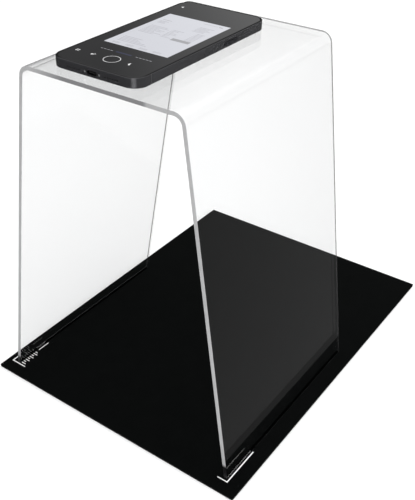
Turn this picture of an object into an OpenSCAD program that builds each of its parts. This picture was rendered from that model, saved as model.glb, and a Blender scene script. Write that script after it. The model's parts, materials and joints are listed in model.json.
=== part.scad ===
// Overhead book and page scanner.
// A slab-shaped capture unit lies on a clear bent-acrylic stand, and looks down
// through it at a page on a black registration mat.
//
// Frame: origin on the table under the middle of the mat, +Z up,
// +X across the page, +Y from the front of the page to its far end.

/* [Mat] */
// Width of the mat across the page
mat_w = 254; // [245:1:300]
// Length of the mat along the page
mat_l = 347; // [330:1:420]
// Thickness of the soft rubber underside
mat_base_t = 1.4; // [1:0.1:3]
// Thickness of the printed top layer
mat_skin_t = 0.6; // [0.4:0.1:1]
// Width of a printed line
mark_line = 1; // [0.8:0.1:2]

/* [Stand] */
// Thickness of the acrylic sheet
sheet_t = 3; // [2:0.5:5]
// Depth of the stand along the page
stand_depth = 190; // [160:1:220]
// Height of the stand from the mat to its upper face
stand_h = 294; // [250:1:320]
// Width between the middles of the two feet
foot_span = 228; // [222:1:236]
// Width between the corners of the top, measured at mid thickness
top_span = 137.5; // [125:0.5:150]
// Bend radius at mid thickness
bend_r = 8; // [5:0.5:12]

/* [Capture unit] */
// Width of the unit
unit_w = 76.8; // [75:0.2:80]
// Length of the unit
unit_l = 158.2; // [156:0.2:165]
// Radius of the unit's corners, seen from above
unit_r = 10.6; // [9:0.2:12]
// Sideways offset of the unit from the middle of the stand
unit_dx = -13.2; // [-20:0.2:20]
// Offset of the unit along the page from the middle of the stand
unit_dy = -5; // [-12:0.5:12]

/* [Moving pieces] */
// Travel of a side button
button_travel = 0.3; // [0.2:0.05:0.3]
// Travel of the lens when it focuses
focus_travel = 0.3; // [0.1:0.05:0.3]

/* [Hidden] */
$fn = 96;
eps = 0.01; // overlap that keeps a cut clear of a face

// Mat
mat_t = mat_base_t + mat_skin_t;
mat_corner_r = 1;
page_w = 210; // an A4 page lies on the mat
page_front = -mat_l / 2 + 11.2; // the page's front edge
page_left = -mat_w / 2 + 21.3; // the page's left edge
mark_left = page_left - 16.5; // outer corners of the two printed angles
mark_right = page_left + page_w + 11;
left_arm_x = 15.7; // arms of the left angle, across and along the page
left_arm_y = 9.2;
right_arm_x = 9.5;
right_arm_y = 38.8;
ink_t = 0.1; // the ink lies flush in the top layer
scale_x = page_left - 7.6; // a short scale of ticks between the left foot and the page
scale_y = page_front + 2.5;
tick_pitch = 2.5;
tick_count = 8;
tick_w = 0.8;
tick_short = 2.6;
tick_long = 4.6;
rule_y = [24.5, 37]; // a thin line that carries on past the ticks

// Stand
stand_x = -2;
stand_y = page_front + 2 + stand_depth / 2;
stand_z = mat_t;
splay = atan((foot_span - top_span) / 2 / (stand_h - sheet_t / 2)); // leg angle from upright
half_sheet = sheet_t / 2;
deck_mid = stand_h - half_sheet; // height of the deck's mid thickness
bend_turn = 90 - splay; // angle that the sheet turns through at a bend
bend_run = bend_r * tan(bend_turn / 2); // from the sharp corner to the start of the bend
bend_cx = top_span / 2 - bend_run; // centre of a bend
bend_cz = deck_mid - bend_r;

// Unit: heights of the layers above its underside
unit_x = stand_x + unit_dx;
unit_y = stand_y + unit_dy;
unit_z = mat_t + stand_h;
rear_t = 0.8; // rear cover
web_z = 4.7; // underside of the frame's middle web
web_top = 5.3;
panel_z = 5.35; // display panel
panel_top = 6.35;
glass_z = 6.4; // cover glass
unit_h = 7.2;
rim_t = 1; // rim beside the glass and the rear cover
wall_t = 2.4; // rim beside the cavity
fit_gap = 0.06; // gap inside the rim
seal_w = 0.5; // part of the gasket that shows between the rim and the glass
seal_drop = 0.15; // the gasket ends this far below the glass face
seal_ledge = 0.7; // width of the gasket under the glass
glass_in = rim_t + fit_gap + seal_w; // inset of the glass from the unit's outline
glass_c = 0.25; // bevel round the glass
edge_c = 0.35; // chamfer of the rim's outer edges
side_x = unit_w / 2;
end_y = unit_l / 2;
wall_x = side_x - wall_t; // inner face of the long walls
wall_y = end_y - wall_t;
band_y = 64.6; // antenna splits
band_w = 1.1;

// Camera
cam = [24.5, 64.5];
cam_box = 16;
cam_gap = 0.5; // clearance round the housing in the web
cam_bore_r = 5.2;
ring_r = 6.95;
window_r = 5.45;
barrel_r = 4.4;
flash = [9.5, 67];
flash_r = 2.55;
cam_floor = 1.15; // underside of the camera housing
cam_top = 4.4;
lens_z = cam_floor + 0.05 + focus_travel; // underside of the lens barrel at rest
lens_h = 2.3;

// Boards and battery
board_z = 3.9;
board_t = web_z - board_z;
board_x = [12.5, 32]; // the long arm beside the battery
board_low_y = -48;
board_arm_y = 44; // the arm across the top starts here
battery_box = [[-31, -46, 1], [10, 40, 4.5]];
can_z = 1.5;
can_wall = 0.2;
cans = [[[14, -44], [31, -10]], [[14, -6], [31, 40]], [[-12, 49.5], [4, 70]]];
board_screw_at = [[-32, 70], [-16, 73], [11, 73.5], [9, 46.5], [16, -46.2], [29, -46.2]];
board_screw_r = 0.7;
board_head_r = 1.3;
board_head_h = 0.5;
board_gap = 0.5; // clearance between a board and the case wall
// chips under the board: two corners and a height
chips = [
    [[17, -38], [28, -27], 1.2], [[18, -22], [27, -13], 0.9], [[16.5, 4], [28.5, 18], 1.4],
    [[18, 24], [27, 34], 1], [[-9, 54], [1, 64], 1]
];
flex_x = [-15, -3]; // the display's ribbon passes through the web here
flex_y = 46.9;
flex_t = 0.2;
flex_reach = 2.3; // length of the ribbon's plug end under the board
lead_x = [-27, -18]; // the battery's lead
lead_y = [44.6, 46.2];
link_x = [0, 7]; // the ribbon under the battery
link_y = [-60, 42.2];
link_plug_y = 45.6;
plug_t = 0.4; // thickness of a ribbon's plug

// Socket end
port_z = 3.1;
port_w = 8.94;
port_h = 3.16;
port_wall = 0.3;
port_depth = 7.3;
port_screw_x = 6.3;
port_screw_r = 0.5;
port_head_r = 0.75;
grille_n = 6;
grille_x = 11.4;
grille_pitch = 2.1;
grille_r = 0.5;
mic_x = -grille_x - grille_pitch; // behind one of the grille's holes
mic_w = 3.4;
mic_y = [-75.6, -72.8];
mic_h = 1.6;
mesh_w = 12.8; // the dust mesh behind a row of holes
mesh_h = 1.6;
bracket_w = 16.6; // holds the socket against the wall
bracket_l = 3.1;
bracket_z = 1.1;
tongue_w = 6.6;
tongue_t = 0.7;
socket_board_x = [-26, 10];
socket_board_y = [-76, -54];
socket_notch_y = -70.8; // the board stops short of the bracket
motor_notch_x = [-31, -15];
speaker = [[10.6, -74.6, 1.1], [30.5, -60, 4.4]];
speaker_duct = [[11.2, -76, 2.2], [22.6, -71, 4]]; // leads to the grille
speaker_cone = [24, -65.5];
speaker_cone_r = 3.5;

// Buttons and card tray
button_z = 3.1;
button_h = 2.6;
button_proud = 0.45;
button_gap = 0.2;
power_y = 28.5;
power_l = 17;
volume_l = 10;
volume_up_y = 36.5;
volume_down_y = 23.5;
flange_t = 0.8;
flange_lip = 0.8; // the flange reaches this far past a button's ends
switch_w = 4; // switches behind the buttons
switch_h = 2.2;
switch_t = 1;
dome_h = 0.41;
switch_gap = 0.03; // between a pressed button and its switch
bracket_t = 0.3;
tray_y = 54;
tray_l = 14.6;
tray_h = 2.3;
tray_z = 2.7;
tray_tip = -21.6; // inner end of the tray
card_l = 12.3;
card_w = 8.8;
card_t = 0.67;
card_x = tray_tip - 1 - card_l; // the card's outer end
card_y = tray_y + 1.3; // the card's middle
eject_y = tray_y - 5.4;
eject_r = 0.4;
tray_face_t = 1.6;
tray_frame = 0.7; // border round the card
tray_t = 1.2;
reader_w = 14.4;
reader_wall = 0.5;

// Vibration motor
motor = [-20, -66, 2.9];
motor_r = 1.7;
motor_l = 8;
motor_shaft_r = 0.35;
bush_r = 0.9;
bush_l = 4;
weight_l = 3;
weight_gap = 0.4; // between the weight and the can

// ---------- shared shapes ----------

// A rectangle centred on the origin with round corners.
module round_rect(w, l, r) {
    square([w - 2 * r, l], center = true);
    square([w, l - 2 * r], center = true);
    for (x = [-1, 1], y = [-1, 1])
        translate([x * (w / 2 - r), y * (l / 2 - r)]) circle(r);
}

// The unit's outline, moved inwards by inset.
module unit_outline(inset = 0) {
    round_rect(unit_w - 2 * inset, unit_l - 2 * inset, unit_r - inset);
}

module unit_layer(z0, z1, inset = 0) {
    translate([0, 0, z0]) linear_extrude(z1 - z0) unit_outline(inset);
}

// A box from its lowest corner to its highest.
module span(lo, hi) {
    translate(lo) cube(hi - lo);
}

// A chamfered rim for a round-cornered slab: widens from inset c at z = 0 to full size at z = c.
module bevel_layer(w, l, r, c) {
    for (x = [-1, 1], y = [-1, 1])
        translate([x * (w / 2 - r), y * (l / 2 - r), 0]) cylinder(h = c, r1 = r - c, r2 = r);
    rotate([90, 0, 0]) translate([0, 0, -(l / 2 - r)]) linear_extrude(l - 2 * r)
        polygon([[-w / 2 + c, 0], [w / 2 - c, 0], [w / 2, c], [-w / 2, c]]);
    rotate([90, 0, 90]) translate([0, 0, -(w / 2 - r)]) linear_extrude(w - 2 * r)
        polygon([[-l / 2 + c, 0], [l / 2 - c, 0], [l / 2, c], [-l / 2, c]]);
}

// A bar with round ends, lying along Y, its outline drawn in the YZ plane and its thickness along X.
module side_bar(x0, x1, y, z, l, h) {
    translate([x0, y, z]) rotate([90, 0, 90]) linear_extrude(x1 - x0) round_rect(l, h, h / 2 - eps);
}

// A bar with round ends whose thickness runs along Y, for the socket end.
module end_bar(y0, y1, x, z, w, h) {
    translate([x, y1, z]) rotate([90, 0, 0]) linear_extrude(y1 - y0) round_rect(w, h, h / 2 - eps);
}

// A rod along Y.
module end_rod(y0, y1, x, z, r) {
    translate([x, y1, z]) rotate([90, 0, 0]) cylinder(h = y1 - y0, r = r);
}

module on_unit() {
    translate([unit_x, unit_y, unit_z]) children();
}

// ---------- mat ----------

module mat_base() {
    color([0.10, 0.10, 0.10]) linear_extrude(mat_base_t) round_rect(mat_w, mat_l, mat_corner_r);
}

module mark_shapes() {
    y0 = page_front - mark_line / 2;
    // left angle
    translate([mark_left, y0]) square([left_arm_x, mark_line]);
    translate([mark_left, y0]) square([mark_line, left_arm_y]);
    // right angle
    translate([mark_right - right_arm_x, y0]) square([right_arm_x, mark_line]);
    translate([mark_right - mark_line, y0]) square([mark_line, right_arm_y]);
    for (i = [0:tick_count - 1])
        translate([scale_x, scale_y + i * tick_pitch])
            square([i % 2 == 0 ? tick_long : tick_short, tick_w]);
    translate([scale_x, page_front + rule_y[0]]) square([tick_w, rule_y[1] - rule_y[0]]);
}

module mat_surface() {
    color([0.03, 0.03, 0.035]) difference() {
        translate([0, 0, mat_base_t]) linear_extrude(mat_skin_t)
            round_rect(mat_w, mat_l, mat_corner_r);
        translate([0, 0, mat_t - ink_t]) linear_extrude(1) mark_shapes();
    }
}

module alignment_marks() {
    color([0.95, 0.95, 0.95]) translate([0, 0, mat_t - ink_t])
        linear_extrude(ink_t) mark_shapes();
}

// ---------- stand ----------

// One leg and the bend above it, in cross-section, on the +X side.
module leg_profile() {
    r_in = bend_r - half_sheet;
    r_out = bend_r + half_sheet;
    flare = half_sheet / cos(splay); // sideways offset of a leg's skin
    normal = [cos(splay), sin(splay)]; // across the leg, outwards
    centre = [bend_cx, bend_cz];
    far = 3 * bend_r;
    polygon([[foot_span / 2 - flare, 0], [foot_span / 2 + flare, 0],
             centre + r_out * normal, centre + r_in * normal]);
    translate(centre) intersection() {
        difference() {
            circle(r_out);
            circle(r_in);
        }
        polygon([[0, 0], far * normal, [far, far], [0, far]]);
    }
}

module acrylic_stand() {
    color([0.85, 0.92, 0.93, 0.3]) translate([stand_x, stand_y + stand_depth / 2, stand_z])
        rotate([90, 0, 0]) linear_extrude(stand_depth) {
            translate([-bend_cx, deck_mid - half_sheet]) square([2 * bend_cx, sheet_t]);
            leg_profile();
            mirror([1, 0]) leg_profile();
        }
}

// ---------- capture unit: case ----------

module rim_solid() {
    difference() {
        union() {
            unit_layer(edge_c, unit_h - edge_c);
            bevel_layer(unit_w, unit_l, unit_r, edge_c);
            translate([0, 0, unit_h]) mirror([0, 0, 1]) bevel_layer(unit_w, unit_l, unit_r, edge_c);
        }
        unit_layer(-1, rear_t, rim_t);
        unit_layer(rear_t - eps, web_z, wall_t);
        unit_layer(web_top, unit_h + 1, rim_t);
    }
}

// The four slots that split the rim, one near each corner of the long sides.
module band_slots() {
    for (x = [-1, 1], y = [-1, 1])
        translate([x * (side_x - 0.5), y * band_y, unit_h / 2])
            cube([3 * wall_t, band_w, unit_h + 2], center = true);
}

module button_slot(side, y, l) {
    x0 = side > 0 ? wall_x - 1 : -side_x - 1;
    side_bar(x0, x0 + wall_t + 2, y, button_z, l + 2 * button_gap, button_h + 2 * button_gap);
}

module grille_holes() {
    for (s = [-1, 1], i = [0:grille_n - 1])
        end_rod(-end_y - 1, -wall_y + 1, s * (grille_x + i * grille_pitch), port_z, grille_r);
}

module unit_frame() {
    color([0.17, 0.17, 0.18]) on_unit() difference() {
        rim_solid();
        band_slots();
        button_slot(1, power_y, power_l);
        button_slot(-1, volume_up_y, volume_l);
        button_slot(-1, volume_down_y, volume_l);
        side_bar(-side_x - 1, -wall_x + 1, tray_y, tray_z, tray_l + 0.2, tray_h + 0.2);
        end_bar(-end_y - 1, -wall_y + 1, 0, port_z, port_w + 0.1, port_h + 0.1);
        for (x = [-1, 1]) {
            end_rod(-end_y - 1, -wall_y + 1, x * port_screw_x, port_z, port_screw_r);
            end_rod(-end_y - 1, -end_y + 0.6, x * port_screw_x, port_z, port_head_r);
        }
        grille_holes();
        // camera opening, flex slot and screw holes in the web
        cam_half = cam_box / 2 + cam_gap;
        span([cam.x - cam_half, cam.y - cam_half, web_z - 0.1],
             [cam.x + cam_half, cam.y + cam_half, web_top + 0.1]);
        span([flex_x[0] - 1, flex_y - 1, web_z - 0.1], [flex_x[1] + 1, flex_y + 2, web_top + 0.1]);
        for (p = board_screw_at)
            translate([p.x, p.y, web_z - 0.1]) cylinder(h = 1, r = board_screw_r);
    }
}

module antenna_bands() {
    color([0.26, 0.26, 0.27]) on_unit() intersection() {
        difference() {
            rim_solid();
            unit_layer(web_z - eps, web_top + eps, wall_t);
        }
        band_slots();
    }
}

module rear_cover() {
    color([0.09, 0.09, 0.10]) on_unit() difference() {
        unit_layer(0, rear_t, rim_t + fit_gap);
        translate([cam.x, cam.y, -1]) cylinder(h = 3, r = ring_r + 0.05);
        translate([flash.x, flash.y, -1]) cylinder(h = 3, r = flash_r + 0.05);
    }
}

module cover_glass() {
    glass_w = unit_w - 2 * glass_in;
    glass_l = unit_l - 2 * glass_in;
    color([0.05, 0.05, 0.06]) on_unit() {
        unit_layer(glass_z, unit_h - glass_c, glass_in);
        translate([0, 0, unit_h]) mirror([0, 0, 1])
            bevel_layer(glass_w, glass_l, unit_r - glass_in, glass_c);
    }
}

// A stepped ring: the glass lies on its ledge, and its upper lip fills the joint beside the glass.
module display_seal() {
    color([0.02, 0.02, 0.02]) on_unit() difference() {
        unit_layer(web_top, unit_h - seal_drop, rim_t + fit_gap);
        unit_layer(glass_z, unit_h + 1, glass_in - 0.02);
        unit_layer(web_top - 1, unit_h + 1, glass_in + seal_ledge);
    }
}

module display_panel() {
    color([0.02, 0.02, 0.03]) on_unit()
        unit_layer(panel_z, panel_top, glass_in + seal_ledge + 0.3);
}

module display_flex() {
    color([0.75, 0.45, 0.15]) on_unit() {
        plug_z = board_z - plug_t;
        span([flex_x[0], flex_y, plug_z - flex_t], [flex_x[1], flex_y + flex_t, panel_z]);
        span([flex_x[0], flex_y, plug_z - flex_t], [flex_x[1], flex_y + flex_reach, plug_z]);
        span([flex_x[0] + 0.5, flex_y + 0.7, plug_z], [flex_x[1] - 0.5, flex_y + flex_reach, board_z]);
    }
}

// ---------- capture unit: boards and battery ----------

module board_outline() {
    difference() {
        intersection() {
            union() {
                translate([board_x[0], board_low_y])
                    square([board_x[1] - board_x[0], board_arm_y - board_low_y + 1]);
                translate([-35, board_arm_y]) square([70, 32]);
            }
            unit_outline(wall_t + board_gap);
        }
        translate([cam.x - cam_box / 2 - 0.4, cam.y - cam_box / 2 - 0.4])
            square(cam_box + 20);
        translate([flex_x[0] - 1, board_arm_y - 1])
            square([flex_x[1] - flex_x[0] + 2, flex_y + flex_t + 0.3 - board_arm_y + 1]);
        for (p = board_screw_at) translate(p) circle(board_screw_r + 0.1);
    }
}

module main_board() {
    color([0.05, 0.22, 0.12]) on_unit() translate([0, 0, board_z])
        linear_extrude(board_t) board_outline();
}

module shield_cans() {
    color([0.72, 0.72, 0.74]) on_unit() for (c = cans) difference() {
        span([c[0].x, c[0].y, can_z], [c[1].x, c[1].y, board_z]);
        span([c[0].x + can_wall, c[0].y + can_wall, can_z + can_wall],
             [c[1].x - can_wall, c[1].y - can_wall, board_z + 1]);
    }
}

module board_chips() {
    color([0.08, 0.08, 0.08]) on_unit() {
        for (c = chips)
            span([c[0].x, c[0].y, board_z - c[2]], [c[1].x, c[1].y, board_z]);
    }
}

module board_screws() {
    color([0.6, 0.6, 0.62]) on_unit() for (p = board_screw_at) translate([p.x, p.y, 0])
        difference() {
            union() {
                translate([0, 0, board_z - board_head_h]) cylinder(h = board_head_h, r = board_head_r);
                translate([0, 0, board_z - eps]) cylinder(h = web_top - board_z - 0.1, r = board_screw_r);
            }
            for (a = [0, 90]) rotate(a)
                translate([0, 0, board_z - board_head_h + 0.1]) cube([1.5, 0.3, 0.4], center = true);
        }
}

module battery() {
    lo = battery_box[0];
    hi = battery_box[1];
    color([0.16, 0.16, 0.17]) on_unit()
        translate([(lo.x + hi.x) / 2, (lo.y + hi.y) / 2, lo.z]) linear_extrude(hi.z - lo.z)
            round_rect(hi.x - lo.x, hi.y - lo.y, 2);
}

module battery_lead() {
    color([0.75, 0.45, 0.15]) on_unit() {
        plug_z = board_z - plug_t;
        span([lead_x[0], battery_box[1].y, plug_z - flex_t], [lead_x[1], lead_y[1], plug_z]);
        span([lead_x[0], lead_y[0], plug_z], [lead_x[1], lead_y[1], board_z]);
    }
}

module socket_board() {
    color([0.05, 0.22, 0.12]) on_unit() difference() {
        translate([0, 0, board_z]) linear_extrude(board_t) intersection() {
            translate([socket_board_x[0], socket_board_y[0]])
                square([socket_board_x[1] - socket_board_x[0], socket_board_y[1] - socket_board_y[0]]);
            unit_outline(wall_t + board_gap);
        }
        span([-port_screw_x - 2.2, -end_y, board_z - 1], [port_screw_x + 2.2, socket_notch_y, web_z + 1]);
        span([motor_notch_x[0], motor.y - motor_r - 0.3, board_z - 1],
             [motor_notch_x[1], motor.y + motor_r + 0.3, web_z + 1]);
    }
}

module link_flex() {
    low = battery_box[0].z;
    plug_z = board_z - plug_t;
    color([0.75, 0.45, 0.15]) on_unit() {
        span([link_x[0], link_y[0], low - 0.15], [link_x[1], link_y[1], low]);
        span([link_x[0], link_y[1] - flex_t, low], [link_x[1], link_y[1], plug_z]);
        span([link_x[0], link_y[1], plug_z - flex_t], [link_x[1], link_plug_y, plug_z]);
        span([link_x[0], link_y[0], low], [link_x[1], link_y[0] + flex_t, board_z]);
    }
}

// ---------- capture unit: socket end ----------

module usb_shell() {
    color([0.55, 0.55, 0.57]) on_unit() difference() {
        end_bar(-end_y + 0.1, -end_y + port_depth, 0, port_z, port_w, port_h);
        end_bar(-end_y - 1, -end_y + port_depth - 0.5, 0, port_z,
                port_w - 2 * port_wall, port_h - 2 * port_wall);
    }
}

module usb_tongue() {
    color([0.05, 0.05, 0.05]) on_unit()
        span([-tongue_w / 2, -end_y + 0.9, port_z - tongue_t / 2],
             [tongue_w / 2, -end_y + port_depth - 0.5, port_z + tongue_t / 2]);
}

module port_bracket() {
    color([0.6, 0.6, 0.62]) on_unit() difference() {
        span([-bracket_w / 2, -wall_y + 0.1, bracket_z], [bracket_w / 2, -wall_y + 0.1 + bracket_l, web_z]);
        end_bar(-wall_y - 1, -wall_y + 5, 0, port_z, port_w + 0.04, port_h + 0.03);
        for (x = [-1, 1])
            end_rod(-wall_y - 1, -wall_y + 5, x * port_screw_x, port_z, port_screw_r);
    }
}

module port_screws() {
    color([0.5, 0.5, 0.52]) on_unit() for (x = [-1, 1]) difference() {
        union() {
            end_rod(-end_y + 0.05, -end_y + 0.6, x * port_screw_x, port_z, port_head_r - 0.03);
            end_rod(-end_y + 0.5, -wall_y + 3, x * port_screw_x, port_z, port_screw_r);
        }
        for (a = [0, 60, 120])
            translate([x * port_screw_x, -end_y + 0.1, port_z]) rotate([0, a, 0])
                cube([0.8, 0.6, 0.18], center = true);
    }
}

module loudspeaker() {
    color([0.08, 0.08, 0.08]) on_unit() difference() {
        span(speaker[0], speaker[1]);
        translate(speaker_cone) cylinder(h = 1.5, r = speaker_cone_r);
        span(speaker_duct[0], speaker_duct[1]);
    }
}

module grille_mesh() {
    middle = grille_x + (grille_n - 1) / 2 * grille_pitch;
    color([0.12, 0.12, 0.12]) on_unit() for (s = [-1, 1])
        span([s * middle - mesh_w / 2, -wall_y + 0.02, port_z - mesh_h / 2],
             [s * middle + mesh_w / 2, -wall_y + 0.3, port_z + mesh_h / 2]);
}

module microphone() {
    color([0.7, 0.7, 0.72]) on_unit() difference() {
        span([mic_x - mic_w / 2, mic_y[0], board_z - mic_h], [mic_x + mic_w / 2, mic_y[1], board_z]);
        end_rod(-76, -75.2, mic_x, port_z, 0.3);
    }
}

module motor_can() {
    color([0.65, 0.65, 0.67]) on_unit() translate(motor) rotate([0, 90, 0]) difference() {
        translate([0, 0, -motor_l / 2]) cylinder(h = motor_l, r = motor_r);
        translate([0, 0, -motor_l / 2 - 1]) cylinder(h = bush_l + 2, r = bush_r);
    }
}

module motor_bush() {
    color([0.75, 0.6, 0.25]) on_unit() translate(motor) rotate([0, 90, 0]) difference() {
        translate([0, 0, -motor_l / 2]) cylinder(h = bush_l, r = bush_r);
        translate([0, 0, -motor_l / 2 - 1]) cylinder(h = 6, r = motor_shaft_r + 0.03);
    }
}

module motor_shaft() {
    color([0.75, 0.75, 0.77]) on_unit() translate(motor) rotate([0, 90, 0])
        translate([0, 0, -motor_l / 2 - weight_gap - weight_l - 0.2])
            cylinder(h = weight_gap + weight_l + bush_l, r = motor_shaft_r);
}

module eccentric_weight() {
    color([0.45, 0.45, 0.47]) on_unit() translate(motor) rotate([0, 90, 0])
        translate([0, 0, -motor_l / 2 - weight_gap - weight_l]) difference() {
            union() {
                intersection() {
                    cylinder(h = weight_l, r = motor_r - 0.1);
                    translate([0, -2, -1]) cube([4, 4, 6]);
                }
                cylinder(h = weight_l, r = 2 * motor_shaft_r);
            }
            translate([0, 0, -1]) cylinder(h = 6, r = motor_shaft_r);
        }
}

// ---------- capture unit: buttons and card tray ----------

// A side button on the +X side; side -1 puts it on the other.
module button(side, y, l) {
    mirror([side > 0 ? 0 : 1, 0, 0]) {
        side_bar(wall_x - 0.1, side_x + button_proud, y, button_z, l, button_h);
        span([wall_x - flange_t, y - l / 2 - flange_lip, button_z - button_h / 2 - 0.25],
             [wall_x - 0.05, y + l / 2 + flange_lip, button_z + button_h / 2 + 0.25]);
    }
}

module power_button() {
    color([0.2, 0.2, 0.21]) on_unit() button(1, power_y, power_l);
}

module volume_up_button() {
    color([0.2, 0.2, 0.21]) on_unit() button(-1, volume_up_y, volume_l);
}

module volume_down_button() {
    color([0.2, 0.2, 0.21]) on_unit() button(-1, volume_down_y, volume_l);
}

module button_switch(side, y) {
    tip_x = wall_x - flange_t - button_travel - switch_gap;
    base_x = tip_x - dome_h;
    mirror([side > 0 ? 0 : 1, 0, 0]) {
        span([base_x - switch_t + eps, y - switch_w / 2, button_z - switch_h / 2],
             [base_x + eps, y + switch_w / 2, button_z + switch_h / 2]);
        translate([base_x, y, button_z]) rotate([0, 90, 0]) cylinder(h = dome_h, r1 = 0.9, r2 = 0.5);
    }
}

module button_switches() {
    color([0.78, 0.78, 0.8]) on_unit() {
        button_switch(1, power_y);
        button_switch(-1, volume_up_y);
        button_switch(-1, volume_down_y);
    }
}

module button_bracket(side, y0, y1) {
    x1 = wall_x - flange_t - button_travel - switch_gap - dome_h - switch_t + eps;
    mirror([side > 0 ? 0 : 1, 0, 0])
        span([x1 - bracket_t, y0, button_z - 1.4], [x1, y1, web_z]);
}

module button_brackets() {
    color([0.7, 0.7, 0.72]) on_unit() {
        button_bracket(1, power_y - 8, power_y + 8);
        button_bracket(-1, volume_down_y - 5, volume_up_y + 5);
    }
}

module sim_tray() {
    color([0.2, 0.2, 0.21]) on_unit() difference() {
        union() {
            side_bar(-side_x, -side_x + tray_face_t, tray_y, tray_z, tray_l, tray_h);
            span([-side_x + tray_face_t - 0.1, card_y - card_w / 2 - tray_frame, tray_z - tray_t / 2],
                 [tray_tip, card_y + card_w / 2 + tray_frame, tray_z + tray_t / 2]);
        }
        span([card_x - 0.1, card_y - card_w / 2 - 0.1, tray_z - 0.2],
             [card_x + card_l + 0.1, card_y + card_w / 2 + 0.1, tray_z + 1]);
        translate([-side_x - 1, eject_y, tray_z]) rotate([0, 90, 0]) cylinder(h = 4, r = eject_r);
    }
}

module sim_card() {
    color([0.85, 0.7, 0.35]) on_unit() span([card_x, card_y - card_w / 2, tray_z - 0.2],
        [card_x + card_l, card_y + card_w / 2, tray_z - 0.2 + card_t]);
}

module sim_reader() {
    color([0.7, 0.7, 0.72]) on_unit() difference() {
        span([-wall_x + 0.3, tray_y - reader_w / 2, can_z], [tray_tip + 1, tray_y + reader_w / 2, board_z]);
        span([-wall_x - 1, tray_y - reader_w / 2 + reader_wall, can_z + 0.3],
             [tray_tip + 1 - reader_wall, tray_y + reader_w / 2 - reader_wall, board_z - 0.3]);
    }
}

// ---------- capture unit: camera and flash ----------

module at_cam(z = 0) {
    on_unit() translate([cam.x, cam.y, z]) children();
}

module camera_trim_ring() {
    color([0.35, 0.35, 0.37]) at_cam() difference() {
        union() {
            cylinder(h = 1.1, r = ring_r);
            translate([0, 0, rear_t]) cylinder(h = 0.3, r = 7.9);
        }
        translate([0, 0, -1]) cylinder(h = 1.6, r = window_r + 0.05);
        cylinder(h = 3, r = 4.8);
    }
}

module camera_window() {
    color([0.1, 0.12, 0.15]) at_cam(0.05) cylinder(h = 0.55, r = window_r);
}

module camera_housing() {
    color([0.12, 0.12, 0.13]) at_cam() difference() {
        span([-cam_box / 2, -cam_box / 2, cam_floor], [cam_box / 2, cam_box / 2, cam_top]);
        translate([0, 0, -1]) cylinder(h = 10, r = cam_bore_r);
    }
}

module camera_board() {
    color([0.05, 0.22, 0.12]) at_cam()
        span([-cam_box / 2, -cam_box / 2, cam_top], [cam_box / 2, cam_box / 2, cam_top + 0.6]);
}

module image_sensor() {
    color([0.15, 0.2, 0.3]) at_cam()
        span([-3.2, -2.4, cam_top - 0.45], [3.2, 2.4, cam_top]);
}

module lens_barrel() {
    color([0.08, 0.08, 0.08]) at_cam(lens_z) difference() {
        cylinder(h = lens_h, r = barrel_r - 0.3);
        translate([0, 0, -1]) cylinder(h = 4, r = 2.6);
        translate([0, 0, -1]) cylinder(h = 2.4, r = 3.4);
    }
}

module lens_element() {
    cap_r = 9;
    color([0.4, 0.5, 0.7, 0.5]) at_cam(lens_z) intersection() {
        translate([0, 0, 0.1]) cylinder(h = 1.3, r = 3.4);
        translate([0, 0, 0.1 + cap_r]) sphere(cap_r);
    }
}

module focus_coil() {
    color([0.75, 0.4, 0.15]) at_cam(lens_z + 0.3) difference() {
        cylinder(h = 1.6, r = 4.8);
        translate([0, 0, -1]) cylinder(h = 4, r = barrel_r - 0.3);
    }
}

module flash_window() {
    color([0.95, 0.93, 0.8]) on_unit() translate([flash.x, flash.y, 0.02])
        cylinder(h = rear_t + 0.1, r = flash_r);
}

module flash_led() {
    color([0.95, 0.85, 0.3]) on_unit()
        span([flash.x - 1.2, flash.y - 1.2, 1.0], [flash.x + 1.2, flash.y + 1.2, board_z]);
}

mat_base();
mat_surface();
alignment_marks();
acrylic_stand();
unit_frame();
antenna_bands();
rear_cover();
cover_glass();
display_seal();
display_panel();
display_flex();
main_board();
shield_cans();
board_chips();
board_screws();
battery();
battery_lead();
socket_board();
link_flex();
usb_shell();
usb_tongue();
port_bracket();
port_screws();
loudspeaker();
grille_mesh();
microphone();
motor_can();
motor_bush();
motor_shaft();
eccentric_weight();
power_button();
volume_up_button();
volume_down_button();
button_switches();
button_brackets();
sim_tray();
sim_card();
sim_reader();
camera_trim_ring();
camera_window();
camera_housing();
camera_board();
image_sensor();
lens_barrel();
lens_element();
focus_coil();
flash_window();
flash_led();
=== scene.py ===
import json
import math

import bmesh
import bpy
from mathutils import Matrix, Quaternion, Vector


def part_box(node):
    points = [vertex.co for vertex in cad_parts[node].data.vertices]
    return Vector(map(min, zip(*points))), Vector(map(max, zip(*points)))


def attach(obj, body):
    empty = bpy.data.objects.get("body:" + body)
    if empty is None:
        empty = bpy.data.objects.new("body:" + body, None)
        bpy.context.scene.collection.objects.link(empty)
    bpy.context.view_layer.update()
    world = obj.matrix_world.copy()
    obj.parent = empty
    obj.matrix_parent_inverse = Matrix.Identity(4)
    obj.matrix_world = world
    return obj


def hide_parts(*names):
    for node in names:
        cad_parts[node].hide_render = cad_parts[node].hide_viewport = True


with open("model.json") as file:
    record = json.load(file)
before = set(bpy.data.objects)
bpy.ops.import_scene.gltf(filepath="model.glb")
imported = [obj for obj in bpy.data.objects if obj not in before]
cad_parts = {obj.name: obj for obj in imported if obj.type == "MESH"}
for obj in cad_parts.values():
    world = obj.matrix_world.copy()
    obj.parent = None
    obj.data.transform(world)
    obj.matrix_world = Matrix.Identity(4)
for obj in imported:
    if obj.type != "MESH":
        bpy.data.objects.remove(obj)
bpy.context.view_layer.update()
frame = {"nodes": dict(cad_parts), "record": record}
nodes_by_name = frame["nodes"]

MM = 0.001

# ---------- places taken from the frame ----------

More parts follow.
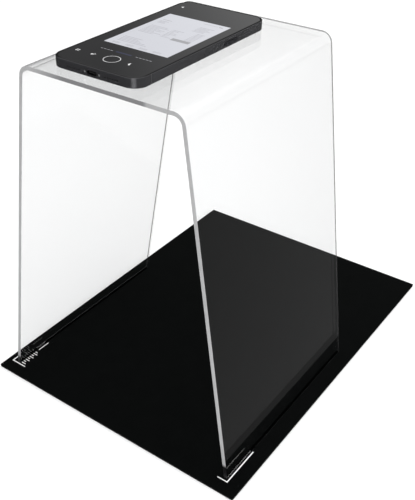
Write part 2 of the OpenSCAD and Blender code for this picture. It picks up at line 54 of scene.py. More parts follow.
unit_low, unit_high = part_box("unit_frame")
glass_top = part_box("cover_glass")[1].z
stand_low, stand_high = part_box("acrylic_stand")
mat_low, mat_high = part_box("mat_base")
unit_mid = (unit_low + unit_high) / 2
stand_mid = (stand_low + stand_high) / 2


# ---------- the stand's sheet ----------

SHEET_IOR = 1.49
SHEET_T = 3 * MM
TOP_SPAN = 137.5 * MM  # between the sharp corners of the top, at mid thickness
BEND_R = 8 * MM  # at mid thickness
BEND_SKIN_R = BEND_R + SHEET_T / 2  # of a bend's outer skin
BEND_STEPS = 28
DECK_STEPS = 12


def bend_geometry():
    """Splay of a leg, and a bend's centre line (sideways, up) and a foot's middle.

    All are measured from the middle of the stand's underside.
    """
    rise = stand_high.z - stand_low.z - SHEET_T / 2
    half_width = (stand_high.x - stand_low.x) / 2
    splay = math.atan((half_width - TOP_SPAN / 2) / rise)
    foot = half_width - SHEET_T / 2 / math.cos(splay)
    splay = math.atan((foot - TOP_SPAN / 2) / rise)
    centre = TOP_SPAN / 2 - BEND_R * math.tan((math.pi / 2 - splay) / 2)
    return splay, centre, rise - BEND_R, foot


# ---------- node helpers ----------

SOCKETS = {
    "color": "Base Color", "rough": "Roughness", "metal": "Metallic", "ior": "IOR",
    "specular": "Specular IOR Level", "clear": "Transmission Weight", "coat": "Coat Weight",
    "coat_rough": "Coat Roughness", "sheen": "Sheen Weight", "glow": "Emission Strength",
    "glow_color": "Emission Color", "alpha": "Alpha",
}
NOISE_ROUGHNESS = 0.55
DISPLAY_DOTS = 9000  # scale of the panel's grid
LIT_DOTS = 2400  # scale of the dots in the lit parts


class Nodes:
    """Short ways to fill a node tree."""

    def __init__(self, tree):
        self.tree = tree

    def fill(self, socket, value):
        """Links a socket to another one, or sets it to a plain value."""
        if isinstance(value, bpy.types.NodeSocket):
            self.tree.links.new(value, socket)
        elif socket.type == "RGBA":
            socket.default_value = (*value[:3], 1)
        else:
            socket.default_value = value

    def add(self, kind, inputs=None, **settings):
        """A new node. Its inputs are filled by name or by number."""
        node = self.tree.nodes.new(kind)
        for key, value in settings.items():
            setattr(node, key, value)
        for key, value in (inputs or {}).items():
            self.fill(node.inputs[key], value)
        return node

    def spread(self, source, low, high, start=0.0, end=1.0):
        """source from start..end turned into low..high."""
        node = self.add("ShaderNodeMapRange", {
            "Value": source, "From Min": start, "From Max": end, "To Min": low, "To Max": high})
        return node.outputs["Result"]

    def maths(self, operation, *values):
        node = self.add("ShaderNodeMath", dict(enumerate(values)), operation=operation)
        return node.outputs["Value"]

    def times(self, first, *others):
        for other in others:
            first = self.maths("MULTIPLY", first, other)
        return first

    def mix(self, factor, first, second):
        """Two colours mixed by factor. Each is a colour or a socket."""
        node = self.add("ShaderNodeMix", {"Factor": factor}, data_type="RGBA")
        colors = [socket for socket in node.inputs if socket.type == "RGBA"]
        for socket, value in zip(colors, (first, second)):
            self.fill(socket, value)
        return next(socket for socket in node.outputs if socket.type == "RGBA")


class Shader(Nodes):
    """A material with one Principled node, and short ways to feed it."""

    def __init__(self, name, **values):
        self.mat = bpy.data.materials.new(name)
        self.mat.use_nodes = True
        super().__init__(self.mat.node_tree)
        self.bsdf = self.tree.nodes["Principled BSDF"]
        self.out = self.tree.nodes["Material Output"]
        self.coords = self.add("ShaderNodeTexCoord").outputs["Object"]
        for key, value in values.items():
            self.feed(key, value)

    def feed(self, key, value):
        self.fill(self.bsdf.inputs[SOCKETS[key]], value)

    def stretched(self, scale):
        """The object's coordinates, scaled apart along each axis."""
        node = self.add("ShaderNodeMapping", {"Vector": self.coords, "Scale": scale})
        return node.outputs["Vector"]

    def axis(self, name):
        return self.add("ShaderNodeSeparateXYZ", {0: self.coords}).outputs[name]

    def from_inside(self):
        """1 on a face seen from inside the piece, and 0 from outside."""
        return self.add("ShaderNodeNewGeometry").outputs["Backfacing"]

    def noise(self, scale, detail=4.0, coords=None):
        node = self.add("ShaderNodeTexNoise", {
            "Vector": coords or self.coords, "Scale": scale, "Detail": detail,
            "Roughness": NOISE_ROUGHNESS})
        return node.outputs["Fac"]

    def cells(self, scale):
        node = self.add("ShaderNodeTexVoronoi", {"Vector": self.coords, "Scale": scale})
        return node.outputs["Distance"]

    def bands(self, scale, direction):
        node = self.add("ShaderNodeTexWave", {"Vector": self.coords, "Scale": scale},
                        bands_direction=direction)
        return node.outputs["Fac"]

    def bricks(self, scale, gap, first, second, mortar, **settings):
        node = self.add("ShaderNodeTexBrick", {
            "Vector": self.coords, "Scale": scale, "Mortar Size": gap,
            "Color1": first, "Color2": second, "Mortar": mortar}, **settings)
        return node.outputs

    def bump(self, height, depth, strength=1.0):
        node = self.add("ShaderNodeBump", {
            "Height": height, "Distance": depth, "Strength": strength})
        self.fill(self.bsdf.inputs["Normal"], node.outputs["Normal"])


def grey(value, blue=0.0):
    return (value, value, value + blue, 1)


# ---------- materials of the mat and the stand ----------

def mat_rubber():
    s = Shader("mat_rubber", rough=0.85, specular=0.15)
    s.feed("color", s.mix(s.noise(400), grey(0.008), grey(0.02)))
    s.bump(s.cells(1500), 0.2 * MM)
    return s.mat


def mat_top():
    """Black top layer with a fine pebble grain."""
    s = Shader("mat_top", specular=0.02)
    s.feed("color", s.mix(s.noise(60), (0.0012, 0.0015, 0.0015), (0.0022, 0.0026, 0.0025)))
    s.feed("rough", s.spread(s.noise(900), 0.6, 0.8))
    s.bump(s.cells(1100), 0.08 * MM, 0.5)
    return s.mat


def ink():
    s = Shader("mark_ink", rough=0.6, specular=0.25)
    s.feed("color", s.mix(s.noise(1800, 6), grey(0.68, 0.01), grey(0.84, 0.01)))
    s.bump(s.noise(2500), 0.02 * MM, 0.4)
    return s.mat


def from_bend(s):
    """Distance outwards and upwards from the nearer bend's centre line."""
    _, centre, height, _ = bend_geometry()
    sideways = s.maths("ABSOLUTE", s.maths("SUBTRACT", s.axis("X"), stand_mid.x))
    return (s.maths("SUBTRACT", sideways, centre),
            s.maths("SUBTRACT", s.axis("Z"), stand_low.z + height))


# share of light that a skin lets through
CLEAR_LOW, CLEAR_HIGH = (0.984, 0.986, 0.987), (0.989, 0.991, 0.992)
# painted shade: the bends let less through, painted in place of what their curve reflects and
# refracts
BEND_PAINTED_SHADE = (0.950, 0.952, 0.953)
OUTER_BEND_PAINTED_SHADE = (0.52, 0.52, 0.53)
# where a bend's painted shade fades in, by the distances of from_bend and from its centre line
BEND_SHADE_OUT, BEND_SHADE_UP = (-0.5 * MM, 3 * MM), (-1 * MM, 3 * MM)
OUTER_SHADE_REACH, OUTER_SHADE_UP = (BEND_R, BEND_R + 1 * MM), (2 * MM, 6 * MM)


def acrylic():
    """Polished sheet: see-through, with a mirror's share of light that grows with the angle, and
    painted shade in its bends.
    """
    s = Shader("clear_acrylic")
    inside = s.from_inside()
    share = s.add("ShaderNodeFresnel", {"IOR": s.spread(inside, SHEET_IOR, 1 / SHEET_IOR)})
    # painted shade: a bend is painted a little grey, and greyer where light leaves through its
    # outer skin
    out, up = from_bend(s)
    bend = s.times(s.spread(out, 0.0, 1.0, *BEND_SHADE_OUT), s.spread(up, 0.0, 1.0, *BEND_SHADE_UP))
    reach = s.maths("SQRT", s.maths("ADD", s.times(out, out), s.times(up, up)))
    outer = s.times(bend, inside, s.spread(reach, 0.0, 1.0, *OUTER_SHADE_REACH),
                    s.spread(up, 0.0, 1.0, *OUTER_SHADE_UP))
    tint_and_bend_shade = s.mix(bend, s.mix(s.noise(9, 2), CLEAR_LOW, CLEAR_HIGH), BEND_PAINTED_SHADE)
    clear = s.add("ShaderNodeBsdfTransparent", {"Color": s.mix(outer, tint_and_bend_shade, OUTER_BEND_PAINTED_SHADE)})
    wipes = s.noise(60, 6, coords=s.stretched((1, 0.15, 1)))
    gloss = s.add("ShaderNodeBsdfGlossy", {
        "Color": grey(0.97), "Roughness": s.spread(wipes, 0.01, 0.06, 0.4, 0.75)})
    both = s.add("ShaderNodeMixShader", {
        "Fac": share.outputs["Fac"], 1: clear.outputs["BSDF"], 2: gloss.outputs["BSDF"]})
    s.fill(s.out.inputs["Surface"], both.outputs["Shader"])
    s.tree.nodes.remove(s.bsdf)
    return s.mat


# x of the front edge's painted shade by the unit, as (start, full) at each end
UNIT_SHADE = ((unit_low.x - 6 * MM, unit_low.x + 22 * MM),
              (unit_high.x + 16 * MM, unit_high.x + 13 * MM))
# height of the painted shade at the left and the right foot, and its soft upper end
FOOT_PAINTED_SHADE = (6 * MM, 12.5 * MM)
FOOT_SHADE_FADE = 3 * MM
# the painted dark line on the ends seen through the sheet: its depth and fade, and how solid it is
LINE_DEPTH, LINE_FADE = 0.9 * MM, 0.5 * MM
LINE_ALPHA, BESIDE_LINE_ALPHA = 0.72, 0.10


def sawn_acrylic():
    """Sawn end of the sheet: satin grey, with painted shade under the unit and where it stands on
    the mat.
    """
    s = Shader("sawn_acrylic", specular=0.35, coat=0.15, coat_rough=0.1)
    x, z = s.axis("X"), s.axis("Z")
    saw = s.noise(1400, 3, coords=s.stretched((0.3, 1, 0.3)))
    tone = s.mix(s.noise(35, 3), grey(0.37, 0.005), grey(0.43, 0.005))
    tone = s.mix(s.spread(saw, 0.0, 0.25, 0.4, 0.7), tone, (0.50, 0.51, 0.52))
    # painted shade: the top ends beside the unit are painted darker
    painted_unit_shade_x = s.times(*(s.spread(x, 0.0, 1.0, *ends) for ends in UNIT_SHADE))
    painted_unit_shade_top = s.spread(z, 0.0, 1.0, stand_high.z - 6 * MM, stand_high.z - SHEET_T)
    tone = s.mix(s.times(painted_unit_shade_x, painted_unit_shade_top), tone, grey(0.21, 0.005))
    # painted shade: the ends are painted near black low down, where they stand on the black mat
    foot_shade_height = s.spread(x, *FOOT_PAINTED_SHADE, stand_low.x, stand_high.x)
    above_foot_shade = s.maths("SUBTRACT", s.maths("SUBTRACT", z, mat_high.z), foot_shade_height)
    tone = s.mix(s.spread(above_foot_shade, 0.0, 1.0, 0.0, FOOT_SHADE_FADE), grey(0.006, 0.001), tone)
    # from inside the sheet its end is nearly clear, with a dark line along the outer skin; its
    # darker colour seen from inside is painted shade
    inside = s.from_inside()
    s.feed("color", s.mix(inside, tone, grey(0.05, 0.002)))
    splay = bend_geometry()[0]
    out, up = from_bend(s)
    angle = s.maths("MAXIMUM", s.maths("ARCTAN2", up, out), splay)
    angle = s.maths("MINIMUM", angle, math.pi / 2)
    reach = s.maths("ADD", s.times(out, s.maths("COSINE", angle)),
                    s.times(up, s.maths("SINE", angle)))
    line_start = BEND_SKIN_R - LINE_DEPTH
    line = s.spread(reach, BESIDE_LINE_ALPHA, LINE_ALPHA, line_start - LINE_FADE, line_start)
    s.feed("alpha", s.maths("MAXIMUM", line, s.maths("SUBTRACT", 1.0, inside)))
    s.feed("rough", s.spread(saw, 0.25, 0.5))
    s.bump(saw, 0.02 * MM, 0.5)
    return s.mat


# ---------- materials of the unit ----------

def anodised(name, tone):
    """Dark aluminium with a fine bead-blasted, anodised skin."""
    s = Shader(name, metal=0.35, specular=0.45)
    s.feed("color", s.mix(s.noise(250), grey(tone, 0.003), grey(tone * 1.3, 0.004)))
    s.feed("rough", s.spread(s.noise(3000, 2), 0.16, 0.26))
    s.bump(s.cells(6000), 0.006 * MM, 0.4)
    return s.mat


def moulded(name, dark, light, rough=0.5, specular=0.4):
    """Moulded plastic with a fine spark-eroded grain."""
    s = Shader(name, specular=specular)
    s.feed("color", s.mix(s.noise(300), dark, light))
    s.feed("rough", s.spread(s.noise(2200, 3), rough - 0.08, rough + 0.08))
    s.bump(s.noise(5000, 2), 0.01 * MM, 0.5)
    return s.mat


def rear_glass():
    s = Shader("rear_glass", specular=0.45, coat=0.3, coat_rough=0.2)
    s.feed("color", s.mix(s.noise(40), grey(0.012, 0.002), grey(0.018, 0.003)))
    s.feed("rough", s.spread(s.noise(150, 5), 0.28, 0.4))
    return s.mat


def screen_glass():
    """Cover glass, printed black from behind where the picture isn't."""
    s = Shader("screen_glass", ior=1.5, coat=0.0)
    s.feed("color", s.mix(s.noise(30, 3), (0.0050, 0.0052, 0.0060), (0.0075, 0.0078, 0.0090)))
    smears = s.noise(55, 6, coords=s.stretched((1, 0.4, 1)))
    s.feed("rough", s.spread(smears, 0.03, 0.09, 0.45, 0.8))
    return s.mat


def panel():
    """Display panel: black with its fine grid of dots."""
    s = Shader("panel_black", specular=0.2, rough=0.3)
    s.feed("color", s.mix(s.cells(DISPLAY_DOTS), grey(0.008, 0.002), grey(0.016, 0.004)))
    return s.mat


def glowing(name, color):
    """A lit part of the picture: its dots glow, under the same gloss as the glass."""
    s = Shader(name, color=grey(0.004), rough=0.07, ior=1.5, glow=1.0)
    dots = s.spread(s.cells(LIT_DOTS), 0.0, 1.0, 0.2, 0.6)
    s.feed("glow_color", s.mix(dots, color, [0.93 * part for part in color]))
    return s.mat


def steel(name, tone, rough=0.28, direction="X", grain_scale=3600.0):
    """Rolled or stamped metal with a brushed grain."""
    s = Shader(name, metal=1.0)
    stretch = {"X": (0.04, 1, 1), "Y": (1, 0.04, 1), "Z": (1, 1, 0.04)}[direction]
    grain = s.noise(grain_scale, coords=s.stretched(stretch))
    s.feed("color", s.mix(grain, grey(tone * 0.85), grey(tone * 1.1)))
    s.feed("rough", s.spread(grain, rough - 0.08, rough + 0.12))
    s.bump(grain, 0.004 * MM, 0.5)
    return s.mat


def brass():
    s = Shader("brass_bush", metal=1.0)
    s.feed("color", s.mix(s.noise(2500), (0.55, 0.38, 0.12), (0.70, 0.52, 0.20)))
    s.feed("rough", s.spread(s.noise(4000), 0.3, 0.5))
    s.bump(s.cells(5000), 0.01 * MM)
    return s.mat


def copper():
    """Enamelled wire, wound round and round."""
    s = Shader("coil_copper", metal=1.0, coat=0.6, coat_rough=0.1)
    turns = s.bands(2600, "Z")
    s.feed("color", s.mix(turns, (0.35, 0.12, 0.03), (0.75, 0.33, 0.12)))
    s.feed("rough", s.spread(turns, 0.5, 0.25))
    s.bump(turns, 0.04 * MM)
    return s.mat


def circuit_board():
    """Green solder mask over tracks and vias."""
    s = Shader("board_green", specular=0.5, rough=0.35, coat=0.3, coat_rough=0.15)
    tracks = s.bricks(420, 0.06, (0.012, 0.075, 0.035), (0.015, 0.09, 0.045),
                      (0.03, 0.16, 0.08), offset=0.37, squash=0.6)
    via = s.spread(s.cells(520), 1.0, 0.0, 0.05, 0.09)
    s.feed("color", s.mix(via, tracks["Color"], (0.6, 0.48, 0.2)))
    s.bump(tracks["Fac"], 0.02 * MM)
    return s.mat


def flexible_film():
    """Amber film with copper tracks running along it."""
    s = Shader("flex_film", rough=0.3, specular=0.5, coat=0.4, coat_rough=0.1)
    tracks = s.spread(s.bands(900, "X"), 0.0, 1.0, 0.45, 0.55)
    s.feed("color", s.mix(tracks, (0.32, 0.10, 0.015), (0.55, 0.24, 0.06)))
    s.bump(tracks, 0.02 * MM)
    return s.mat


def foil_pouch():
    s = Shader("battery_wrap", specular=0.5)
    s.feed("color", s.mix(s.noise(90), grey(0.020, 0.002), grey(0.035, 0.003)))
    s.feed("rough", s.spread(s.noise(220, 6), 0.3, 0.55))
    s.bump(s.noise(140, 5), 0.15 * MM, 0.6)
    return s.mat


def woven_mesh():
    s = Shader("mesh_black", rough=0.7, specular=0.3, sheen=0.2)
    weave = s.times(s.bands(5000, "X"), s.bands(5000, "Z"))
    s.feed("color", s.mix(weave, grey(0.004), grey(0.05)))
    s.bump(weave, 0.08 * MM)
    return s.mat


def coated_lens():
    """Lens glass with a faint blue-green coating that turns violet towards the edge."""
    s = Shader("lens_glass", ior=1.55, clear=0.85, coat=1.0, coat_rough=0.02, rough=0.02)
    edge = s.add("ShaderNodeLayerWeight", {"Blend": 0.35}).outputs["Facing"]
    s.feed("color", s.mix(edge, (0.10, 0.16, 0.22), (0.16, 0.10, 0.24)))
    return s.mat


def sensor():
    s = Shader("sensor_blue", specular=0.6, rough=0.12, coat=1.0, coat_rough=0.02)
    s.feed("color", s.mix(s.cells(9000), (0.01, 0.02, 0.05), (0.05, 0.03, 0.09)))
    return s.mat


def frosted(name, color, scale=900.0):
    s = Shader(name, rough=0.35, specular=0.5, coat=0.5, coat_rough=0.1)
    rings = s.cells(scale)
    s.feed("color", s.mix(rings, color, [0.8 * part for part in color]))
    s.bump(rings, 0.05 * MM)
    return s.mat


def card():
    """Card body with gold contacts in its middle."""
    s = Shader("card_gold", rough=0.4, specular=0.5)
    pads = s.bricks(260, 0.05, (0.62, 0.46, 0.16), (0.66, 0.50, 0.18), (0.5, 0.5, 0.48),
                    offset=0.0)
    s.feed("color", pads["Color"])
    s.bump(pads["Fac"], 0.03 * MM)
    return s.mat


SAWN = sawn_acrylic()
MATERIALS = {
    "mat_rubber": mat_rubber(),
    "mat_top": mat_top(),
    "mark_ink": ink(),
    "clear_acrylic": acrylic(),
    "case_metal": anodised("case_metal", 0.035),
    "antenna_plastic": moulded("antenna_plastic", grey(0.024, 0.003), grey(0.032, 0.003)),
    "rear_glass": rear_glass(),
    "screen_glass": screen_glass(),
    "black_seal": moulded("black_seal", grey(0.004), grey(0.008), 0.8, 0.1),
    "panel_black": panel(),
    "flex_film": flexible_film(),
    "board_green": circuit_board(),
    "shield_tin": steel("shield_tin", 0.62, 0.3),
    "chip_black": moulded("chip_black", grey(0.012), grey(0.022), 0.55),
    "screw_steel": steel("screw_steel", 0.85, 0.35, "Z"),
    "battery_wrap": foil_pouch(),
    # painted shade: the port's steel is given a dark tone for the shade inside the port
    "socket_steel": steel("socket_steel", 0.10, 0.3, "Y"),
    "black_plastic": moulded("black_plastic", grey(0.010), grey(0.018)),
    "mesh_black": woven_mesh(),
    "motor_steel": steel("motor_steel", 0.58, 0.22),
    "brass_bush": brass(),
    "tungsten": steel("tungsten", 0.25, 0.45, grain_scale=1600.0),
    "button_metal": anodised("button_metal", 0.012),
    "switch_silver": steel("switch_silver", 0.65, 0.25, "Y"),
    "card_gold": card(),
    "ring_metal": steel("ring_metal", 0.10, 0.2, "Z"),
    "lens_glass": coated_lens(),
    "sensor_blue": sensor(),
    "coil_copper": copper(),
    "flash_diffuser": frosted("flash_diffuser", (0.85, 0.82, 0.65)),
    "led_yellow": frosted("led_yellow", (0.80, 0.62, 0.10), 2500.0),
}


# ---------- objects ----------

KEY_EDGE, MAT_EDGE, SHEET_EDGE = 0.15 * MM, 0.25 * MM, 0.2 * MM  # widths of rounded edges
EDGE_ANGLE, SHEET_EDGE_ANGLE = 40, 50  # degrees
WELD_GAP = 0.001 * MM


def place(name, data):
    """A new object in the scene."""
    obj = bpy.data.objects.new(name, data)
    bpy.context.scene.collection.objects.link(obj)
    return obj


def place_mesh(name, bm, *materials):
    """A new object with the mesh built in bm."""
    mesh = bpy.data.meshes.new(name)
    bm.to_mesh(mesh)
    bm.free()
    for material in materials:
        mesh.materials.append(material)
    return place(name, mesh)


def round_edges(obj, width, angle):
    """Rounds the edges sharper than an angle, as a finished edge is."""
    edge = obj.modifiers.new("edge", "BEVEL")
    edge.width = width
    edge.segments = 2
    edge.limit_method = "ANGLE"
    edge.angle_limit = math.radians(angle)
    edge.harden_normals = True
    return edge


def soften(node, width):
    """Rounds a CAD node's edges a little."""
    obj = nodes_by_name[node]
    weld = obj.modifiers.new("weld", "WELD")
    weld.merge_threshold = WELD_GAP
    round_edges(obj, width, EDGE_ANGLE)


def dress_frame():
    """Gives every node the material of its slot in the record."""
    for entry in frame["record"]["subparts"]:
        mesh = nodes_by_name[entry["node"]].data
        mesh.materials.clear()
        mesh.materials.append(MATERIALS[entry["material_slot"]])


# ---------- stand ----------

def sheet_stations():
    """Skin points (outer, inner) across the bent sheet, from right foot to left, in XZ."""
    height = stand_high.z - stand_low.z
    half = SHEET_T / 2
    splay, cx, cz, foot = bend_geometry()
    turn = math.pi / 2 - splay
    flare = half / math.cos(splay)
    right = [((foot + flare, 0), (foot - flare, 0))]
    for i in range(BEND_STEPS + 1):
        angle = splay + turn * i / BEND_STEPS
        c, n = math.cos(angle), math.sin(angle)
        right.append(tuple((cx + r * c, cz + r * n) for r in (BEND_R + half, BEND_R - half)))
    deck = [((cx * t, height), (cx * t, height - SHEET_T))
            for t in (1 - 2 * i / DECK_STEPS for i in range(1, DECK_STEPS))]
    left = [((-ox, oz), (-ix, iz)) for (ox, oz), (ix, iz) in reversed(right)]
    return right + deck + left


def stand_sheet():
    """The bent sheet with smooth bends, clear skins (material 0) and sawn ends (material 1)."""
    stations = sheet_stations()
    bm = bmesh.new()
    front_out, front_in, back_out, back_in = (
        [bm.verts.new((stand_mid.x + p[skin][0], y, stand_low.z + p[skin][1])) for p in stations]
        for y in (stand_low.y, stand_high.y) for skin in (0, 1))
    strips = ((front_out, back_out, 0), (back_in, front_in, 0),
              (front_in, front_out, 1), (back_out, back_in, 1))
    for i in range(len(stations) - 1):
        for one, other, sawn in strips:
            face = bm.faces.new((one[i], other[i], other[i + 1], one[i + 1]))
            face.material_index = sawn
            face.smooth = not sawn
    for i in (0, -1):
        face = bm.faces.new((front_out[i], front_in[i], back_in[i], back_out[i]))
        face.material_index = 1
    bmesh.ops.recalc_face_normals(bm, faces=bm.faces)
    sheet = place_mesh("stand_sheet", bm, MATERIALS["clear_acrylic"], SAWN)
    round_edges(sheet, SHEET_EDGE, SHEET_EDGE_ANGLE).material = 1
    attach(sheet, "stand")
    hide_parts("acrylic_stand")


# ---------- flat shapes on the unit, in its own millimetres from its middle ----------

LAYER_T = 0.012 * MM
LAYER_START, LAYER_FILL = 0.3, 0.6  # share of a layer left free under a shape, and filled
UNIT_CORNER = 10.6  # radius of the unit's corners
RIM_SHADE_INSETS = (0.4, 0.98)  # of the black line of painted shade on the rim, outside and inside

PAGE = (-27.4, -35.0, 28.8, 43.0)  # the scanned page as the screen shows it
ICON_ROW = -59.6
LABEL_ROW = -47.1
LINE_STEP = 2.3  # between the page's lines of bars
SHUTTER_X = 0.9
SHUTTER_R = (6.15, 5.72)


def arc(cx, cy, radius, start, end, steps):
    angles = (start + (end - start) * i / steps for i in range(steps + 1))
    return [(cx + radius * math.cos(a), cy + radius * math.sin(a)) for a in angles]


def round_box(x0, y0, x1, y1, radius, steps=6):
    """Outline of a rectangle with round corners, anticlockwise."""
    q = math.pi / 2
    corners = ((x1 - radius, y0 + radius, -q), (x1 - radius, y1 - radius, 0),
               (x0 + radius, y1 - radius, q), (x0 + radius, y0 + radius, 2 * q))
    return [p for cx, cy, a in corners for p in arc(cx, cy, radius, a, a + q, steps)]


def disc(cx, cy, radius, steps=32):
    return arc(cx, cy, radius, 0, 2 * math.pi * (1 - 1 / steps), steps - 1)


class Picture:
    """Flat shapes of one layer of the picture, made into one mesh on the glass."""

    def __init__(self, name, layer=0):
        self.name = name
        self.bm = bmesh.new()
        self.low = glass_top + LAYER_T * (LAYER_START + layer)
        self.high = self.low + LAYER_T * LAYER_FILL

    def loop(self, outline, z):
        return [self.bm.verts.new((unit_mid.x + x * MM, unit_mid.y + y * MM, z))
                for x, y in outline]

    def walls(self, *loops):
        """Faces between each loop and the next."""
        for one, other in zip(loops, loops[1:]):
            for i in range(len(one)):
                j = (i + 1) % len(one)
                self.bm.faces.new((one[i], one[j], other[j], other[i]))

    def shape(self, outline):
        low, high = self.loop(outline, self.low), self.loop(outline, self.high)
        self.bm.faces.new(list(reversed(low)))
        self.bm.faces.new(high)
        self.walls(low, high)

    def band(self, outer, inner):
        """A flat band between two outlines with the same number of points."""
        low_out, low_in, high_out, high_in = (
            self.loop(outline, z) for z in (self.low, self.high) for outline in (outer, inner))
        self.walls(low_out, high_out, high_in, low_in, low_out)

    def ring(self, cx, cy, outer, inner, steps=48):
        self.band(disc(cx, cy, outer, steps), disc(cx, cy, inner, steps))

    def bar(self, x, y, length, height):
        self.shape(round_box(x, y, x + length, y + height, min(height, length) * 0.3, 3))

    def bars(self, x, y, step, lengths, height=0.6):
        """Bars from the same left end, each a step below the last."""
        for row, length in enumerate(lengths):
            self.bar(x, y - step * row, length, height)

    def done(self, material):
        obj = place_mesh(self.name, self.bm, material)
        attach(obj, "unit")


def rim_shade_line():
    """Black line of painted shade on the flat top of the rim, round the glass, where the seam and
    the rim top fall in shade.
    """
    half_x, half_y, _ = (unit_high - unit_low) / 2 / MM
    outer, inner = (round_box(inset - half_x, inset - half_y, half_x - inset, half_y - inset,
                              UNIT_CORNER - inset, 16) for inset in RIM_SHADE_INSETS)
    p = Picture("rim_shade_line")
    p.band(outer, inner)
    p.done(moulded("rim_shade_black", grey(0.002), grey(0.004), 0.85, 0.02))


def screen_page():
    p = Picture("screen_page")
    p.shape(round_box(*PAGE, 0.4))
    p.done(glowing("screen_paper", (0.66, 0.67, 0.72)))


def screen_lines():
    """Grey bars where a page has its lines, and one darker block."""
    left, low, right, high = PAGE
    faint = Picture("screen_lines", 1)
    faint.bars(left + 4, high - 18, 2.0, (8, 6, 7), 0.7)
    faint.bars(right - 19, high - 13, 2.0, [11 + 2 * math.cos(2.1 * i) for i in range(6)])
    faint.bars(left + 5, high - 30, LINE_STEP, [15 + 4 * math.sin(2.3 * i) for i in range(8)])
    faint.bars(left + 25, high - 30, LINE_STEP, [7 + 3 * math.cos(1.7 * i) for i in range(8)])
    faint.bars(right - 12, high - 27, LINE_STEP, [7] * 8)
    faint.bars(left + 5, low + 8, -LINE_STEP, [20 + 6 * math.cos(i) for i in range(5)])
    for column in range(4):
        faint.bars(left + 5 + 12 * column, low + 2.4, -1.5, (7, 7), 0.5)
    faint.done(glowing("screen_faint", (0.42, 0.42, 0.46)))
    dark = Picture("screen_block", 2)
    dark.shape(round_box(8.4, -5.4, 24.2, -1.0, 0.2, 2))
    dark.bar(right - 7.5, high - 5.2, 3.2, 1.3)
    dark.done(glowing("screen_dark", (0.36, 0.36, 0.38)))
    line = Picture("screen_head", 1)
    line.bar(right - 21, high - 4.8, 12.5, 0.6)
    line.bar(left + 4.2, high - 14.6, 8.2, 0.9)
    line.done(glowing("screen_mid", (0.44, 0.44, 0.47)))


def screen_icons():
    """Shutter ring, a grid of four squares, two round marks and two triangles."""
    p = Picture("screen_icons")
    p.ring(SHUTTER_X, ICON_ROW, *SHUTTER_R)
    for x in (-30.55, -28.85):
        for y in (ICON_ROW - 0.85, ICON_ROW + 0.85):
            p.shape(round_box(x - 0.55, y - 0.55, x + 0.55, y + 0.55, 0.2, 3))
    p.shape(disc(-16.4, ICON_ROW - 0.5, 0.95))
    p.ring(-14.9, ICON_ROW + 0.4, 1.0, 0.7, 24)
    p.shape([(15.1, ICON_ROW - 0.6), (17.5, ICON_ROW - 2.3), (16.0, ICON_ROW + 2.2)])
    p.shape([(-30.9, 62.4), (-28.3, 60.9), (-28.9, 63.9)])
    p.done(glowing("screen_white", (0.95, 0.95, 0.96)))


def screen_labels():
    """Three mode names as plain bars, the middle one chosen."""
    p = Picture("screen_labels")
    for start, count in ((-19.9, 4), (11.0, 5)):
        for i in range(count):
            p.bar(start + 2.9 * i, LABEL_ROW, 2.2, 0.55)
    p.done(glowing("screen_label", (0.42, 0.42, 0.45)))
    chosen = Picture("screen_chosen")
    chosen.shape(round_box(-6.6, LABEL_ROW - 0.5, 7.4, LABEL_ROW + 1.5, 1.0))
    chosen.done(glowing("screen_blue", (0.022, 0.026, 0.060)))


# ---------- camera ----------

CAMERA_AT = Vector((0.3253, -0.5179, 0.4921))
AZIMUTH, ELEVATION, ROLL = 36.400, 34.513, 0.360  # degrees
SENSOR = 36  # mm, like the lens
LENS = 57.065
SHIFT = (0.065, 0.024)
CLIP = (0.02, 100)


def make_camera():
    data = bpy.data.cameras.new("camera")
    data.sensor_width = SENSOR
    data.lens = LENS
    data.shift_x, data.shift_y = SHIFT
    data.clip_start, data.clip_end = CLIP
    camera = place("camera", data)
    a, e = math.radians(AZIMUTH), math.radians(ELEVATION)
    back = Vector((math.sin(a) * math.cos(e), -math.cos(a) * math.cos(e), math.sin(e)))
    camera.rotation_mode = "QUATERNION"
    turn = (-back).to_track_quat("-Z", "Y")
    camera.rotation_quaternion = turn @ Quaternion((0, 0, 1), math.radians(ROLL))
    camera.location = CAMERA_AT
    bpy.context.scene.camera = camera


# ---------- studio ----------

STUDIO_R = 6.0
STUDIO_SIDES = 64
FLOOR_GAP = 0.1 * MM  # between the mat and the floor

# brightness of the studio by height of the direction, from straight down to straight up
SKY = ((-1.0, 0.12), (-0.02, 0.12), (0.0, 0.6), (0.2, 0.55), (0.27, 0.55), (0.4, 0.56),
       (0.5, 0.6), (0.75, 1.45), (1.0, 1.95))
SKY_TOP = SKY[-1][1]
# the low sky falls off towards the left: to this share, over these x and below these heights
LEFT_SHARE = 0.36
LEFT_X = (-0.62, -0.49)
LEFT_UP_TO = (0.4, 0.55)

# the corner strip is a light patch on the unit's near right corner
CORNER_INSET = 10 * MM
CORNER_HEADING = -59.4  # degrees
CORNER_DROP = -0.396
CORNER_REACH = 0.6
SIDE_FILL_AT = Vector((1.2, 0.15, 0.1))  # from the unit's middle


def lamp(name, at, aim, size, power, mirrored=True):
    data = bpy.data.lights.new(name, "AREA")
    data.shape = "RECTANGLE"
    data.size, data.size_y = size
    data.energy = power
    obj = place(name, data)
    obj.location = at
    obj.rotation_mode = "QUATERNION"
    obj.rotation_quaternion = (aim - at).to_track_quat("-Z", "Y")
    obj.visible_camera = False
    obj.visible_glossy = mirrored


def make_lamps():
    corner = Vector((unit_high.x - CORNER_INSET, unit_low.y + CORNER_INSET, unit_mid.z))
    heading = math.radians(CORNER_HEADING)
    away = Vector((math.cos(heading), math.sin(heading), CORNER_DROP))
    lamp("corner_strip", corner + CORNER_REACH * away, corner, size=(0.34, 0.2), power=0.9)
    lamp("side_fill", unit_mid + SIDE_FILL_AT, unit_mid, size=(0.8, 0.5), power=6.0,
         mirrored=False)


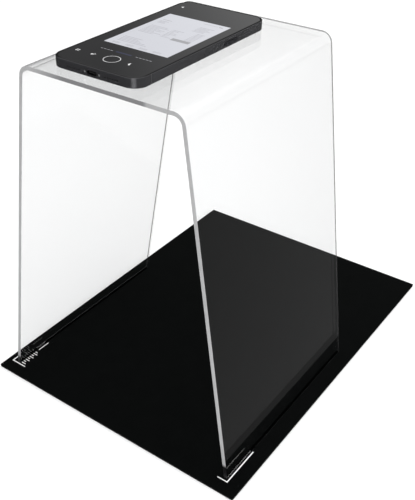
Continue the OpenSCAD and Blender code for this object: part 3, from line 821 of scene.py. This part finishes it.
def floor_material():
    s = Shader("studio_floor", rough=0.9, specular=0.0)
    s.feed("color", s.mix(s.noise(3), grey(0.92), grey(0.93)))
    return s.mat


def backdrop_material():
    s = Shader("studio_backdrop", color=grey(0.0), rough=1.0, specular=0.0, glow=1.0)
    s.feed("glow_color", s.mix(s.noise(0.2), grey(1.04), grey(1.06)))
    return s.mat


def stage_piece(name, points, faces, material):
    """A piece of the studio. Glossy things mirror the sky instead, which is darker low down."""
    mesh = bpy.data.meshes.new(name)
    mesh.from_pydata(points, [], faces)
    mesh.materials.append(material)
    piece = place(name, mesh)
    piece.visible_glossy = False
    return piece


def make_stage():
    """Round floor with a white wall round it."""
    ground = mat_low.z - FLOOR_GAP
    ring = disc(0, 0, STUDIO_R, STUDIO_SIDES)
    stage_piece("studio_floor", [(x, y, ground) for x, y in ring],
                [tuple(range(STUDIO_SIDES))], floor_material())
    panels = []
    for i in range(STUDIO_SIDES):
        j = (i + 1) % STUDIO_SIDES
        panels.append((i, j, STUDIO_SIDES + j, STUDIO_SIDES + i))
    wall = stage_piece("studio_backdrop", [(x, y, z) for z in (ground, STUDIO_R) for x, y in ring],
                       panels, backdrop_material())
    wall.visible_diffuse = False
    wall.visible_shadow = False


def make_sky():
    world = bpy.data.worlds.new("studio")
    bpy.context.scene.world = world
    world.use_nodes = True
    n = Nodes(world.node_tree)
    way = n.add("ShaderNodeTexCoord").outputs["Generated"]
    split = n.add("ShaderNodeSeparateXYZ", {0: way})
    x, z = split.outputs["X"], split.outputs["Z"]
    ramp = n.add("ShaderNodeValToRGB", {"Fac": n.spread(z, 0.0, 1.0, -1.0, 1.0)})
    stops = [((1 + height) / 2, grey(value / SKY_TOP)) for height, value in SKY]
    elements = ramp.color_ramp.elements
    for element, (position, color) in zip(elements, (stops[0], stops[-1])):
        element.position, element.color = position, color
    for position, color in stops[1:-1]:
        elements.new(position).color = color
    kept = n.maths("MAXIMUM", n.spread(x, LEFT_SHARE, 1.0, *LEFT_X),
                   n.spread(z, 0.0, 1.0, *LEFT_UP_TO))
    sky = n.add("ShaderNodeVectorMath", {0: ramp.outputs["Color"], "Scale": kept},
                operation="SCALE")
    background = n.tree.nodes["Background"]
    n.fill(background.inputs["Color"], sky.outputs["Vector"])
    n.fill(background.inputs["Strength"], SKY_TOP)
    bpy.context.scene.view_settings.view_transform = "Standard"


# ---------- the scene ----------

make_camera()
make_stage()
make_sky()
make_lamps()
dress_frame()
for key in ("power_button", "volume_up_button", "volume_down_button"):
    soften(key, KEY_EDGE)
stand_sheet()
for key in ("mat_surface", "mat_base"):
    soften(key, MAT_EDGE)
rim_shade_line()
screen_page()
screen_lines()
screen_icons()
screen_labels()
